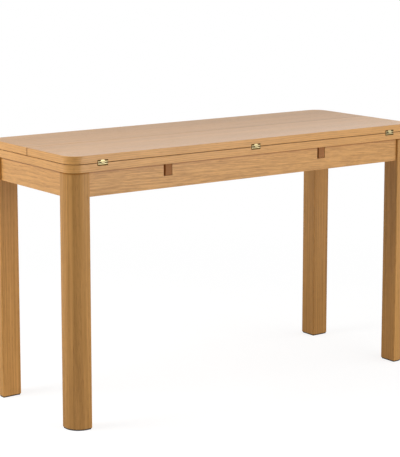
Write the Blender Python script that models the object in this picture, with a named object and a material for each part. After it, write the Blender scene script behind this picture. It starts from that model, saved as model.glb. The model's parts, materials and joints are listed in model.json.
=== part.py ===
"""Extending dining table: two leaves folded onto a fixed top, carried by pull-out lopers when open.

Metres. X runs along the table, Y from its front to its back, Z up from the floor.
The rear half is the front half turned by 180 degrees about Z, so paired pieces share one mesh.
"""

import math

import bmesh
import bpy
from mathutils import Matrix, Vector

# Overall sizes of the folded table
TABLE_LENGTH = 1.250
TABLE_DEPTH = 0.460
TABLE_HEIGHT = 0.760

# Clearances
SEAT_GAP = 0.0003
RUNNING_GAP = 0.0003

# Panels: the fixed top and the two leaves
PANEL_THICKNESS = 0.022
PANEL_CORNER_RADIUS = 0.040
PANEL_ARRIS = 0.0012
LEAF_GAP = 0.0015
SEAM_GAP = 0.0015

# Legs and glides
LEG_WIDTH = 0.060
LEG_INSET = 0.003
LEG_OUTER_RADIUS = 0.045
LEG_ARRIS = 0.0015
GLIDE_THICKNESS = 0.003
GLIDE_INSET = 0.002

# Aprons and their tenons
APRON_HEIGHT = 0.069
APRON_THICKNESS = 0.020
APRON_INSET = 0.007
APRON_ARRIS = 0.001
TENON_LENGTH = 0.015
TENON_THICKNESS = 0.010
TENON_SHOULDER = 0.010

# Corner blocks and hanger bolts
BLOCK_HEIGHT = 0.045
BLOCK_THICKNESS = 0.020
BLOCK_CHAMFER = 0.012
BLOCK_TOP_GAP = 0.010
CHAMFER_RUNOUT = 0.003
BOLT_RADIUS = 0.004
BOLT_EMBED = 0.028
BOLT_TAIL = 0.004
BOLT_TIP = 0.001
WASHER_RADIUS = 0.009
WASHER_THICKNESS = 0.0016
NUT_ACROSS_FLATS = 0.013
NUT_HEIGHT = 0.0065

# Lopers, and the guides and keepers that carry them
STATION_FROM_END = 0.346
LOPER_WIDTH = 0.022
LOPER_HEIGHT = 0.034
LOPER_RECESS = 0.001
LOPER_ARRIS = 0.001
LOPER_SIDE_GAP = 0.0005
LOPER_TOP_GAP = 0.0004
LOPER_END_GAP = 0.001
MIDDLE_GUIDE_WIDTH = 0.017
SIDE_GUIDE_WIDTH = 0.020
GUIDE_ARRIS = 0.0006
KEEPER_WIDTH = 0.085
KEEPER_THICKNESS = 0.010
KEEPER_MARGIN = 0.010
NOTCH_SIDE_GAP = 0.007
NOTCH_FLOOR_GAP = 0.0006
STOP_PIN_RADIUS = 0.004
STOP_PIN_EMBED = 0.015
STOP_PIN_REACH = 0.009
STOP_GAP = 0.0005

# Hinges, measured from the line between leaf and fixed top
HINGE_FROM_END = 0.102
HINGE_LENGTH = 0.033
PLATE_THICKNESS = 0.0016
PLATE_PROUD = 0.0007
PLATE_NEAR_EDGE = 0.0020
PLATE_FAR_EDGE = 0.0067
PLATE_FACE_GAP = 0.0003
POCKET_MARGIN = 0.0015
BARREL_RADIUS = 0.0024
BARREL_LENGTH = 0.0115
BARREL_SLIT = 0.0004
PIN_RADIUS = 0.0012
PIN_GAP = 0.0001
PIN_OVERHANG = 0.0004
SCREW_HOLE_RADIUS = 0.0011
SCREW_HEAD_RADIUS = 0.0019
SCREW_FROM_CENTRE = 0.0112

# Fineness of round work
ARC_STEPS = 16
ARRIS_STEPS = 2
SMALL_RADIUS = 0.006
ROUND_SIDES = 16
BOLT_SIDES = 12
HOLE_SIDES = 12
CUT_MARGIN = 0.005
SHARP_ANGLE = math.radians(40)

# Heights that follow
LEAF_BOTTOM = TABLE_HEIGHT - PANEL_THICKNESS
HINGE_Z = LEAF_BOTTOM - LEAF_GAP / 2
UNDERSIDE = LEAF_BOTTOM - LEAF_GAP - PANEL_THICKNESS
FRAME_TOP = UNDERSIDE - SEAT_GAP
APRON_BOTTOM = UNDERSIDE - APRON_HEIGHT
LEG_BOTTOM = GLIDE_THICKNESS + SEAT_GAP
BLOCK_TOP = UNDERSIDE - BLOCK_TOP_GAP
BLOCK_BOTTOM = BLOCK_TOP - BLOCK_HEIGHT
BOLT_Z = (BLOCK_TOP + BLOCK_BOTTOM) / 2
LOPER_TOP = UNDERSIDE - LOPER_TOP_GAP
LOPER_BOTTOM = LOPER_TOP - LOPER_HEIGHT
NOTCH_FLOOR = LOPER_BOTTOM - NOTCH_FLOOR_GAP
KEEPER_TOP = LOPER_BOTTOM - RUNNING_GAP
KEEPER_BOTTOM = KEEPER_TOP - KEEPER_THICKNESS

# Places that follow in plan, for the rear and the right half
LEG_X = TABLE_LENGTH / 2 - LEG_INSET - LEG_WIDTH / 2
LEG_Y = TABLE_DEPTH / 2 - LEG_INSET - LEG_WIDTH / 2
APRON_OUTER_Y = TABLE_DEPTH / 2 - LEG_INSET - APRON_INSET
APRON_INNER_Y = APRON_OUTER_Y - APRON_THICKNESS
APRON_OUTER_X = TABLE_LENGTH / 2 - LEG_INSET - APRON_INSET
STATION_X = TABLE_LENGTH / 2 - STATION_FROM_END
LOPER_OFFSET = MIDDLE_GUIDE_WIDTH / 2 + LOPER_SIDE_GAP + LOPER_WIDTH / 2
SIDE_GUIDE_NEAR = LOPER_OFFSET + LOPER_WIDTH / 2 + LOPER_SIDE_GAP
SIDE_GUIDE_FAR = SIDE_GUIDE_NEAR + SIDE_GUIDE_WIDTH
KEEPER_OUTER_Y = APRON_INNER_Y - KEEPER_MARGIN
KEEPER_INNER_Y = KEEPER_OUTER_Y - KEEPER_WIDTH
HINGE_X = TABLE_LENGTH / 2 - HINGE_FROM_END
HINGE_OFFSET = PLATE_PROUD + PLATE_FACE_GAP
HINGE_Y = TABLE_DEPTH / 2 + HINGE_OFFSET
BARREL_CLEAR = BARREL_RADIUS + RUNNING_GAP

# Each side of the table, with its turn about Z, and each corner with the turn of its leg
SIDES = (("front", math.pi), ("rear", 0.0))
ENDS = (("left", -1), ("right", 1))
CORNERS = (
    ("front_left", -1, -1, 0.0),
    ("front_right", 1, -1, math.pi / 2),
    ("rear_right", 1, 1, math.pi),
    ("rear_left", -1, 1, -math.pi / 2),
)

FINISHES = {
    "oak": ((0.56, 0.37, 0.18), 0.45, 0.0),
    "loper_wood": ((0.29, 0.15, 0.07), 0.55, 0.0),
    "guide_wood": ((0.50, 0.36, 0.21), 0.60, 0.0),
    "brass": ((0.78, 0.63, 0.32), 0.28, 1.0),
    "steel": ((0.60, 0.60, 0.58), 0.35, 1.0),
    "felt": ((0.03, 0.027, 0.025), 0.90, 0.0),
}


def clear_scene():
    """Takes every object out of the open scene."""
    for item in list(bpy.data.objects):
        bpy.data.objects.remove(item)


def finish(name):
    """The Principled material of one finish, made on its first use."""
    material = bpy.data.materials.get(name)
    if material is None:
        colour, roughness, metallic = FINISHES[name]
        material = bpy.data.materials.new(name)
        material.use_nodes = True
        shader = material.node_tree.nodes["Principled BSDF"]
        shader.inputs["Base Color"].default_value = (*colour, 1.0)
        shader.inputs["Roughness"].default_value = roughness
        shader.inputs["Metallic"].default_value = metallic
    return material


def add_empty(name, location, turn=0.0):
    """An axis that pieces hang on."""
    empty = bpy.data.objects.new(name, None)
    empty.location = location
    empty.rotation_euler.z = turn
    bpy.context.scene.collection.objects.link(empty)
    return empty


def add_piece(name, mesh, parent, at=(0.0, 0.0, 0.0), turn=0.0):
    """One named sub-part, placed on its parent."""
    piece = bpy.data.objects.new(name, mesh)
    piece.parent = parent
    piece.location = at
    piece.rotation_euler.z = turn
    bpy.context.scene.collection.objects.link(piece)
    return piece


def mesh_from(bm, name, finish_name=None):
    """Turns bmesh geometry into a mesh with its finish, smooth except at sharp edges."""
    mesh = bpy.data.meshes.new(name)
    bm.to_mesh(mesh)
    bm.free()
    if finish_name:
        dress(mesh, finish_name)
    return mesh


def dress(mesh, finish_name):
    """Gives a mesh its material and its shading."""
    mesh.materials.clear()
    mesh.materials.append(finish(finish_name))
    mesh.shade_smooth()
    mesh.set_sharp_from_angle(angle=SHARP_ANGLE)


def combine(mesh, tools, operation, finish_name):
    """Cuts each tool mesh from a mesh, or joins it on, one after the other."""
    scene = bpy.context.scene.collection.objects
    for tool_mesh in tools:
        piece = bpy.data.objects.new("shape", mesh)
        tool = bpy.data.objects.new("tool", tool_mesh)
        scene.link(piece)
        scene.link(tool)
        modifier = piece.modifiers.new("shape", "BOOLEAN")
        modifier.operation = operation
        modifier.object = tool
        depsgraph = bpy.context.evaluated_depsgraph_get()
        shaped = bpy.data.meshes.new_from_object(piece.evaluated_get(depsgraph))
        bpy.data.objects.remove(piece)
        bpy.data.objects.remove(tool)
        mesh = shaped
    dress(mesh, finish_name)
    return mesh


def loft(rings):
    """A closed body through rings of equally many points, from the lowest ring up."""
    bm = bmesh.new()
    rows = [[bm.verts.new(point) for point in ring] for ring in rings]
    count = len(rows[0])
    for low, high in zip(rows, rows[1:]):
        for i in range(count):
            j = (i + 1) % count
            bm.faces.new((low[i], low[j], high[j], high[i]))
    bm.faces.new(reversed(rows[0]))
    bm.faces.new(rows[-1])
    return bm


def rectangle(x_range, y_range, radii, inset=0.0):
    """A rectangle's outline, counter-clockwise, drawn in by inset; a corner with a radius is an arc."""
    x0, x1 = x_range[0] + inset, x_range[1] - inset
    y0, y1 = y_range[0] + inset, y_range[1] - inset
    corners = ((x0, y0, 180), (x1, y0, 270), (x1, y1, 0), (x0, y1, 90))
    points = []
    for (x, y, start), radius in zip(corners, radii):
        if radius == 0.0:
            points.append((x, y))
            continue
        bend = radius - inset
        steps = ARC_STEPS if radius > SMALL_RADIUS else ARRIS_STEPS
        centre_x = x + bend if x == x0 else x - bend
        centre_y = y + bend if y == y0 else y - bend
        for step in range(steps + 1):
            angle = math.radians(start + 90 * step / steps)
            points.append((centre_x + bend * math.cos(angle), centre_y + bend * math.sin(angle)))
    return points


def eased_block(x_range, y_range, z_range, radii, arris):
    """An upright block with the given plan radii and rounded top and bottom arrises."""
    levels = []
    for step in range(ARRIS_STEPS + 1):
        angle = math.pi / 2 * step / ARRIS_STEPS
        levels.append((arris * (1 - math.cos(angle)), arris * (1 - math.sin(angle))))
    stack = [(z_range[0] + rise, inset) for rise, inset in levels]
    stack += [(z_range[1] - rise, inset) for rise, inset in reversed(levels)]
    rings = []
    for z, inset in stack:
        rings.append([(x, y, z) for x, y in rectangle(x_range, y_range, radii, inset)])
    return loft(rings)


def box(x_range, y_range, z_range, arris=0.0):
    """A straight block between three pairs of limits, with every edge eased by arris."""
    bm = bmesh.new()
    bmesh.ops.create_cube(bm, size=1.0)
    for vert in bm.verts:
        for axis, limits in enumerate((x_range, y_range, z_range)):
            vert.co[axis] = limits[1] if vert.co[axis] > 0 else limits[0]
    if arris:
        bmesh.ops.bevel(bm, geom=bm.edges[:], offset=arris, segments=ARRIS_STEPS, profile=0.5, affect="EDGES")
    return bm


def boxes(limits):
    """Several straight blocks, clear of each other, as one cutting tool."""
    bm = bmesh.new()
    for x_range, y_range, z_range in limits:
        block = bpy.data.meshes.new("block")
        single = box(x_range, y_range, z_range)
        single.to_mesh(block)
        single.free()
        bm.from_mesh(block)
        bpy.data.meshes.remove(block)
    return mesh_from(bm, "tool")


def turned(profile, sides=ROUND_SIDES):
    """A body turned about +Z; each profile entry is a height, a radius and whether the ring is a hexagon."""
    rings = []
    for z, radius, is_hexagon in profile:
        ring = []
        for i in range(sides):
            angle = 2 * math.pi * i / sides
            reach = radius
            if is_hexagon:
                sixth = math.pi / 3
                reach = radius / math.cos(angle % sixth - sixth / 2)
            ring.append((reach * math.cos(angle), reach * math.sin(angle), z))
        rings.append(ring)
    return loft(rings)


def rod(z_range, radius, sides=ROUND_SIDES):
    """A plain round rod about Z."""
    return turned([(z_range[0], radius, False), (z_range[1], radius, False)], sides)


def place(bm, origin, direction):
    """Points a body's +Z along direction and moves its own origin to origin."""
    turn = Vector((0, 0, 1)).rotation_difference(Vector(direction)).to_matrix().to_4x4()
    bm.transform(Matrix.Translation(origin) @ turn)
    return bm


def hinge_places():
    """The hinges' names along a side with their places on X."""
    return (("left", -HINGE_X), ("middle", 0.0), ("right", HINGE_X))


def hinge_cuts(up):
    """Plate pockets and barrel reliefs for a panel above (up 1) or below (up -1) the hinge line.

    They are measured from the hinge axis, with the panel's edge on the -Y side.
    """
    pocket_depth = HINGE_OFFSET + PLATE_THICKNESS - PLATE_PROUD + SEAT_GAP
    half_plate = HINGE_LENGTH / 2 + SEAT_GAP
    half_barrel = BARREL_LENGTH / 2 + PIN_OVERHANG + RUNNING_GAP
    pocket_z = sorted((0.0, up * (PLATE_FAR_EDGE + POCKET_MARGIN)))
    relief_z = sorted((0.0, up * BARREL_CLEAR))
    pockets = []
    reliefs = []
    for _, x in hinge_places():
        pockets.append(((x - half_plate, x + half_plate), (-pocket_depth, CUT_MARGIN), pocket_z))
        reliefs.append(((x - half_barrel, x + half_barrel), (-BARREL_CLEAR, CUT_MARGIN), relief_z))
    return boxes(pockets), boxes(reliefs)


def moved(mesh, location, turn=0.0):
    """The same mesh, turned about Z and then moved."""
    mesh.transform(Matrix.Translation(location) @ Matrix.Rotation(turn, 4, "Z"))
    return mesh


def fixed_top_mesh():
    """The lower panel: rounded corners, and hinge pockets along both long edges."""
    half_x = TABLE_LENGTH / 2
    half_y = TABLE_DEPTH / 2
    radii = (PANEL_CORNER_RADIUS,) * 4
    z_range = (UNDERSIDE, UNDERSIDE + PANEL_THICKNESS)
    panel = mesh_from(eased_block((-half_x, half_x), (-half_y, half_y), z_range, radii, PANEL_ARRIS), "fixed_top")
    cuts = []
    for _, turn in SIDES:
        axis = Matrix.Rotation(turn, 3, "Z") @ Vector((0, HINGE_Y, HINGE_Z))
        cuts += [moved(tool, axis, turn) for tool in hinge_cuts(-1)]
    return combine(panel, cuts, "DIFFERENCE", "oak")


def leaf_mesh():
    """A leaf measured from its hinge axis: rounded at the hinged edge, square at the seam."""
    half_x = TABLE_LENGTH / 2
    y_range = (SEAM_GAP / 2 - HINGE_Y, -HINGE_OFFSET)
    z_range = (LEAF_GAP / 2, LEAF_GAP / 2 + PANEL_THICKNESS)
    radii = (0.0, 0.0, PANEL_CORNER_RADIUS, PANEL_CORNER_RADIUS)
    panel = mesh_from(eased_block((-half_x, half_x), y_range, z_range, radii, PANEL_ARRIS), "leaf")
    return combine(panel, hinge_cuts(1), "DIFFERENCE", "oak")


def leg_mesh():
    """A leg about its own axis, its rounded corner towards -X -Y, with mortises, chamfer and bolt bore."""
    half = LEG_WIDTH / 2
    outer_radius = min(LEG_OUTER_RADIUS, LEG_WIDTH - 2 * LEG_ARRIS)
    radii = (outer_radius, 2 * LEG_ARRIS, 2 * LEG_ARRIS, 2 * LEG_ARRIS)
    leg = mesh_from(eased_block((-half, half), (-half, half), (LEG_BOTTOM, FRAME_TOP), radii, LEG_ARRIS), "leg")
    middle = APRON_INSET + APRON_THICKNESS / 2 - half
    across = (middle - TENON_THICKNESS / 2 - SEAT_GAP, middle + TENON_THICKNESS / 2 + SEAT_GAP)
    along = (half - TENON_LENGTH - SEAT_GAP, half + CUT_MARGIN)
    low = APRON_BOTTOM + TENON_SHOULDER - SEAT_GAP
    high = FRAME_TOP - TENON_SHOULDER + SEAT_GAP
    mortises = boxes([(along, across, (low, high)), (across, along, (low, high))])
    near = half - BLOCK_CHAMFER - CUT_MARGIN
    far = half + CUT_MARGIN
    corner = [(near, far), (far, near), (far, far)]
    heights = (BLOCK_BOTTOM - CHAMFER_RUNOUT, FRAME_TOP + CUT_MARGIN)
    chamfer = mesh_from(loft([[(x, y, z) for x, y in corner] for z in heights]), "tool")
    bore_end = CUT_MARGIN + BOLT_EMBED
    bore = place(rod((-BOLT_EMBED - SEAT_GAP, bore_end), BOLT_RADIUS + SEAT_GAP), chamfer_centre(), (1, 1, 0))
    return combine(leg, [mortises, chamfer, mesh_from(bore, "tool")], "DIFFERENCE", "oak")


def chamfer_centre():
    """The middle of a leg's chamfer at bolt height, measured from the leg's axis."""
    reach = (LEG_WIDTH - BLOCK_CHAMFER) / 2
    return Vector((reach, reach, BOLT_Z))


def glide_mesh():
    """The thin foot under a leg, drawn in from the leg's outline."""
    half = LEG_WIDTH / 2
    outer_radius = min(LEG_OUTER_RADIUS, LEG_WIDTH - 2 * LEG_ARRIS)
    radii = (outer_radius, 2 * GLIDE_INSET, 2 * GLIDE_INSET, 2 * GLIDE_INSET)
    outline = rectangle((-half, half), (-half, half), radii, GLIDE_INSET)
    return mesh_from(loft([[(x, y, z) for x, y in outline] for z in (0.0, GLIDE_THICKNESS)]), "glide", "felt")


def apron_mesh(half_length, outer, notches):
    """An apron on the +Y side with a tenon at each end, notched from its top edge."""
    half = half_length - SEAT_GAP
    inner = outer - APRON_THICKNESS
    rail = mesh_from(box((-half, half), (inner, outer), (APRON_BOTTOM, FRAME_TOP), APRON_ARRIS), "apron")
    middle = (inner + outer) / 2
    across = (middle - TENON_THICKNESS / 2, middle + TENON_THICKNESS / 2)
    heights = (APRON_BOTTOM + TENON_SHOULDER, FRAME_TOP - TENON_SHOULDER)
    root = half - CUT_MARGIN
    tip = half_length + TENON_LENGTH
    tenons = [((-tip, -root), across, heights), ((root, tip), across, heights)]
    rail = combine(rail, [boxes(tenons)], "UNION", "oak")
    if not notches:
        return rail
    depth = (inner - CUT_MARGIN, outer + CUT_MARGIN)
    cuts = boxes([(x_range, depth, (NOTCH_FLOOR, FRAME_TOP + CUT_MARGIN)) for x_range in notches])
    return combine(rail, [cuts], "DIFFERENCE", "oak")


def loper_notches():
    """The limits on X of the rear apron's notches, each wider than its loper on the outer side."""
    near = MIDDLE_GUIDE_WIDTH / 2
    far = LOPER_OFFSET + LOPER_WIDTH / 2 + NOTCH_SIDE_GAP
    return [(sign * STATION_X + near, sign * STATION_X + far) for _, sign in ENDS]


def corner_block_mesh():
    """A brace across a corner, measured from the leg's axis: its ends lie on the aprons' inner faces."""
    seat = APRON_INSET + APRON_THICKNESS - LEG_WIDTH / 2 + SEAT_GAP
    to_leg = LEG_WIDTH - BLOCK_CHAMFER + SEAT_GAP * math.sqrt(2)
    to_room = to_leg + BLOCK_THICKNESS * math.sqrt(2)
    outline = [(seat, to_leg - seat), (to_leg - seat, seat), (to_room - seat, seat), (seat, to_room - seat)]
    heights = (BLOCK_BOTTOM, BLOCK_TOP)
    block = mesh_from(loft([[(x, y, z) for x, y in outline] for z in heights]), "corner_block")
    reach = BLOCK_THICKNESS + CUT_MARGIN
    hole = place(rod((-CUT_MARGIN, reach), BOLT_RADIUS + SEAT_GAP), chamfer_centre(), (1, 1, 0))
    return combine(block, [mesh_from(hole, "tool")], "DIFFERENCE", "guide_wood")


def corner_bolt_mesh():
    """A hanger bolt with its washer and nut, measured from the middle of the leg's chamfer."""
    washer = 2 * SEAT_GAP + BLOCK_THICKNESS
    nut = washer + WASHER_THICKNESS
    tail = nut + NUT_HEIGHT
    end = tail + BOLT_TAIL
    flat = NUT_ACROSS_FLATS / 2
    profile = [
        (-BOLT_EMBED, BOLT_RADIUS - BOLT_TIP, False),
        (-BOLT_EMBED + BOLT_TIP, BOLT_RADIUS, False),
        (washer, BOLT_RADIUS, False),
        (washer, WASHER_RADIUS, False),
        (nut, WASHER_RADIUS, False),
        (nut, flat, True),
        (tail, flat, True),
        (tail, BOLT_RADIUS, False),
        (end - BOLT_TIP, BOLT_RADIUS, False),
        (end, BOLT_RADIUS - BOLT_TIP, False),
    ]
    return mesh_from(place(turned(profile, BOLT_SIDES), chamfer_centre(), (1, 1, 0)), "corner_bolt", "steel")


def loper_limits():
    """The ends of a stowed rear loper on Y."""
    return LOPER_END_GAP - APRON_INNER_Y, APRON_OUTER_Y - LOPER_RECESS


def stop_pin_y():
    """Where a stowed rear loper's stop pin stands: against the front keeper."""
    return STOP_GAP + STOP_PIN_RADIUS - KEEPER_INNER_Y


def loper_mesh():
    """A pull-out bar about its own slide line, with a blind hole for its stop pin."""
    half = LOPER_WIDTH / 2
    bar = mesh_from(box((-half, half), loper_limits(), (LOPER_BOTTOM, LOPER_TOP), LOPER_ARRIS), "loper")
    hole = rod((LOPER_BOTTOM - CUT_MARGIN, LOPER_BOTTOM + STOP_PIN_EMBED + SEAT_GAP), STOP_PIN_RADIUS + SEAT_GAP)
    hole.transform(Matrix.Translation((0, stop_pin_y(), 0)))
    return combine(bar, [mesh_from(hole, "tool")], "DIFFERENCE", "loper_wood")


def stop_pin_mesh():
    """A dowel that stands down from the loper between the two keepers."""
    low = LOPER_BOTTOM - STOP_PIN_REACH
    high = LOPER_BOTTOM + STOP_PIN_EMBED
    tip = STOP_PIN_RADIUS / 4
    profile = [
        (low, STOP_PIN_RADIUS - tip, False),
        (low + tip, STOP_PIN_RADIUS, False),
        (high, STOP_PIN_RADIUS, False),
    ]
    pin = turned(profile)
    pin.transform(Matrix.Translation((0, stop_pin_y(), 0)))
    return mesh_from(pin, "stop_pin", "guide_wood")


def guide_mesh(x_range):
    """A rail beside a loper, from apron to apron under the fixed top."""
    reach = APRON_INNER_Y - SEAT_GAP
    return mesh_from(box(x_range, (-reach, reach), (LOPER_BOTTOM, FRAME_TOP), GUIDE_ARRIS), "guide", "guide_wood")


def keeper_mesh():
    """A strip under the guides that carries both lopers of a station, on the rear side."""
    x_range = (-SIDE_GUIDE_FAR, SIDE_GUIDE_FAR)
    y_range = (KEEPER_INNER_Y, KEEPER_OUTER_Y)
    return mesh_from(box(x_range, y_range, (KEEPER_BOTTOM, KEEPER_TOP), GUIDE_ARRIS), "keeper", "guide_wood")


def barrel_limits():
    """The outer knuckle, middle knuckle and outer knuckle along a hinge."""
    third = BARREL_LENGTH / 3
    half_slit = BARREL_SLIT / 2
    end = BARREL_LENGTH / 2
    return ((-end, -third / 2 - half_slit), (-third / 2 + half_slit, third / 2 - half_slit), (third / 2 + half_slit, end))


def hinge_plate_mesh(up, own, other, name):
    """A hinge plate measured from the axis: a flat with its own knuckles, cut clear of the other's.

    The plate stands above the axis (up 1) or below it (up -1), on the -Y side. The upper one has a thinner
    tab behind the knuckles that reaches to the far wall of its pocket.
    """
    half = HINGE_LENGTH / 2
    y_range = (PLATE_PROUD - PLATE_THICKNESS - HINGE_OFFSET, PLATE_PROUD - HINGE_OFFSET)
    plate = mesh_from(box((-half, half), y_range, sorted((up * PLATE_NEAR_EDGE, up * PLATE_FAR_EDGE))), name)
    screw_z = up * (PLATE_NEAR_EDGE + PLATE_FAR_EDGE) / 2
    if up > 0:
        tab_x = (-BARREL_LENGTH / 2, BARREL_LENGTH / 2)
        tab_y = (y_range[0] + PLATE_THICKNESS / 4, y_range[1] - PLATE_THICKNESS / 4)
        tab_z = (screw_z, PLATE_FAR_EDGE + POCKET_MARGIN - SEAT_GAP)
        plate = combine(plate, [boxes([(tab_x, tab_y, tab_z)])], "UNION", "brass")
    slots = []
    for low, high in other:
        x_range = (low - BARREL_SLIT, high + BARREL_SLIT)
        slots.append((x_range, (-2 * CUT_MARGIN, CUT_MARGIN), sorted((0.0, up * BARREL_CLEAR))))
    plate = combine(plate, [boxes(slots)], "DIFFERENCE", "brass")
    for limits in own:
        knuckle = mesh_from(place(rod(limits, BARREL_RADIUS), (0, 0, 0), (1, 0, 0)), "tool")
        plate = combine(plate, [knuckle], "UNION", "brass")
    bore = place(rod((-half, half), PIN_RADIUS + PIN_GAP), (0, 0, 0), (1, 0, 0))
    cuts = [mesh_from(bore, "tool")]
    face = y_range[1]
    for sign in (-1, 1):
        cone_end = face - (SCREW_HEAD_RADIUS - SCREW_HOLE_RADIUS)
        profile = [
            (y_range[0] - CUT_MARGIN, SCREW_HOLE_RADIUS, False),
            (cone_end, SCREW_HOLE_RADIUS, False),
            (face + CUT_MARGIN, SCREW_HEAD_RADIUS + CUT_MARGIN, False),
        ]
        hole = place(turned(profile, HOLE_SIDES), (sign * SCREW_FROM_CENTRE, 0, screw_z), (0, 1, 0))
        cuts.append(mesh_from(hole, "tool"))
    return combine(plate, cuts, "DIFFERENCE", "brass")


def hinge_pin_mesh():
    """The pin through a hinge's knuckles, with its ends just showing."""
    reach = BARREL_LENGTH / 2 + PIN_OVERHANG
    return mesh_from(place(rod((-reach, reach), PIN_RADIUS), (0, 0, 0), (1, 0, 0)), "hinge_pin", "brass")


def build_frame(frame):
    """Fixed top, legs, glides, aprons, corner blocks and bolts."""
    add_piece("fixed_top", fixed_top_mesh(), frame)
    corner_meshes = (
        ("leg", leg_mesh()),
        ("glide", glide_mesh()),
        ("corner_block", corner_block_mesh()),
        ("corner_bolt", corner_bolt_mesh()),
    )
    for corner, x_sign, y_sign, turn in CORNERS:
        for kind, mesh in corner_meshes:
            add_piece(f"{kind}_{corner}", mesh, frame, (x_sign * LEG_X, y_sign * LEG_Y, 0.0), turn)
    long_apron = apron_mesh(LEG_X - LEG_WIDTH / 2, APRON_OUTER_Y, loper_notches())
    for side, turn in SIDES:
        add_piece(f"apron_{side}", long_apron, frame, turn=turn)
    end_apron = apron_mesh(LEG_Y - LEG_WIDTH / 2, APRON_OUTER_X, [])
    for end, sign in ENDS:
        add_piece(f"apron_{end}", end_apron, frame, turn=-sign * math.pi / 2)


def build_guides(frame):
    """Three guides and two keepers at each of the two stations."""
    half = MIDDLE_GUIDE_WIDTH / 2
    middle = guide_mesh((-half, half))
    side = guide_mesh((SIDE_GUIDE_NEAR, SIDE_GUIDE_FAR))
    keeper = keeper_mesh()
    for end, sign in ENDS:
        station = (sign * STATION_X, 0.0, 0.0)
        outward = 0.0 if sign > 0 else math.pi
        add_piece(f"guide_{end}_middle", middle, frame, station)
        add_piece(f"guide_{end}_outer", side, frame, station, outward)
        add_piece(f"guide_{end}_inner", side, frame, station, outward + math.pi)
        for rank, turn in SIDES:
            add_piece(f"keeper_{end}_{rank}", keeper, frame, station, turn)


def build_lopers():
    """Two lopers for each leaf, each with its stop pin, on its own slide axis."""
    bar = loper_mesh()
    pin = stop_pin_mesh()
    for side, turn in SIDES:
        offset = LOPER_OFFSET if side == "rear" else -LOPER_OFFSET
        for end, sign in ENDS:
            slide = add_empty(f"slide_{side}_{end}", (sign * STATION_X + offset, 0.0, 0.0), turn)
            add_piece(f"loper_{side}_{end}", bar, slide)
            add_piece(f"stop_pin_{side}_{end}", pin, slide)


def build_leaves(frame):
    """The two leaves on their hinge axes, and the hinges' fixed plates and pins."""
    outer_left, middle, outer_right = barrel_limits()
    leaf = leaf_mesh()
    leaf_plate = hinge_plate_mesh(1, (middle,), (outer_left, outer_right), "leaf_plate")
    base_plate = hinge_plate_mesh(-1, (outer_left, outer_right), (middle,), "base_plate")
    pin = hinge_pin_mesh()
    for side, turn in SIDES:
        facing = 1 if side == "rear" else -1
        axis = add_empty(f"hinge_axis_{side}", (0.0, facing * HINGE_Y, HINGE_Z), turn)
        add_piece(f"{side}_leaf", leaf, axis)
        for spot, x in hinge_places():
            add_piece(f"hinge_leaf_plate_{side}_{spot}", leaf_plate, axis, (facing * x, 0.0, 0.0))
            fixed = (x, facing * HINGE_Y, HINGE_Z)
            add_piece(f"hinge_base_plate_{side}_{spot}", base_plate, frame, fixed, turn)
            add_piece(f"hinge_pin_{side}_{spot}", pin, frame, fixed, turn)


def main():
    """Builds the table."""
    clear_scene()
    frame = add_empty("table_frame", (0.0, 0.0, 0.0))
    build_frame(frame)
    build_guides(frame)
    build_lopers()
    build_leaves(frame)
    bpy.context.view_layer.update()


main()
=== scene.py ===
import json
import math
from typing import NamedTuple

import bmesh
import bpy
import numpy as np
from bpy.props import FloatProperty, FloatVectorProperty, IntProperty, PointerProperty
from mathutils import Matrix, Vector

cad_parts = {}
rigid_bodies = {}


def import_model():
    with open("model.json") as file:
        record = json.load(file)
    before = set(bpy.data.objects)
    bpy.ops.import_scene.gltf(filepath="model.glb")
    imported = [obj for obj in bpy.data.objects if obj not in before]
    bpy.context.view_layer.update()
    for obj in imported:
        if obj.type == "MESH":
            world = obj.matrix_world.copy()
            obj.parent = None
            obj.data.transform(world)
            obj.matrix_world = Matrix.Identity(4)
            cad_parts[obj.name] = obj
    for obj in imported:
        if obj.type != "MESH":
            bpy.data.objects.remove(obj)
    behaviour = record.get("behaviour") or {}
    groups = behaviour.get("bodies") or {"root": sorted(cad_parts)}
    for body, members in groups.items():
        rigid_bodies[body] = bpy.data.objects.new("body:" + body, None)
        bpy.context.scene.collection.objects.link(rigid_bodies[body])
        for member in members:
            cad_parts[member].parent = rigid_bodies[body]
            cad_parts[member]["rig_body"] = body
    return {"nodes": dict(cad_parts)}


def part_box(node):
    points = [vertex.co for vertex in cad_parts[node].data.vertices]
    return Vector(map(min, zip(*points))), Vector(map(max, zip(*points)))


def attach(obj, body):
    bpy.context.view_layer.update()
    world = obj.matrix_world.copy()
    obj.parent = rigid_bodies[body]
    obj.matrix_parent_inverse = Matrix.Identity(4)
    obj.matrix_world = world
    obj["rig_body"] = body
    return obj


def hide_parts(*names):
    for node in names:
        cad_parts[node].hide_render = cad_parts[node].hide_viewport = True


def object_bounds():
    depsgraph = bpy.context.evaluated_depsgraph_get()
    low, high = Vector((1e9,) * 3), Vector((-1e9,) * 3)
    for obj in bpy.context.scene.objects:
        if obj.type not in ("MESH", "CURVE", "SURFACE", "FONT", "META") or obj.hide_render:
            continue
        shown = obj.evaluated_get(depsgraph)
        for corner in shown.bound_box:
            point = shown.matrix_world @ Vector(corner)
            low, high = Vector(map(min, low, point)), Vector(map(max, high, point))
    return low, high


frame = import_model()
CAD_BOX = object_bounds()

bl_info = {
    "name": "Fold-over oak table",
    "version": (1, 0, 0),
    "blender": (4, 5, 0),
    "location": "3D View > Sidebar > Oak table",
    "description": "Dresses a fold-over table in oak, brass and hardwood and sets it in a pale studio",
    "category": "Object",
}

# Names that repeat along the table
SIDES = ("front", "rear")
ENDS = ("left", "right")
HINGE_SPOTS = ("left", "middle", "right")

# Each leg's corner, its turn from the front left leg, and how light its oak is
LEGS = (
    ("front_left", 0.0, 0.83),
    ("front_right", math.pi / 2, 0.88),
    ("rear_right", math.pi, 0.81),
    ("rear_left", -math.pi / 2, 0.96),
)

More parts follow.
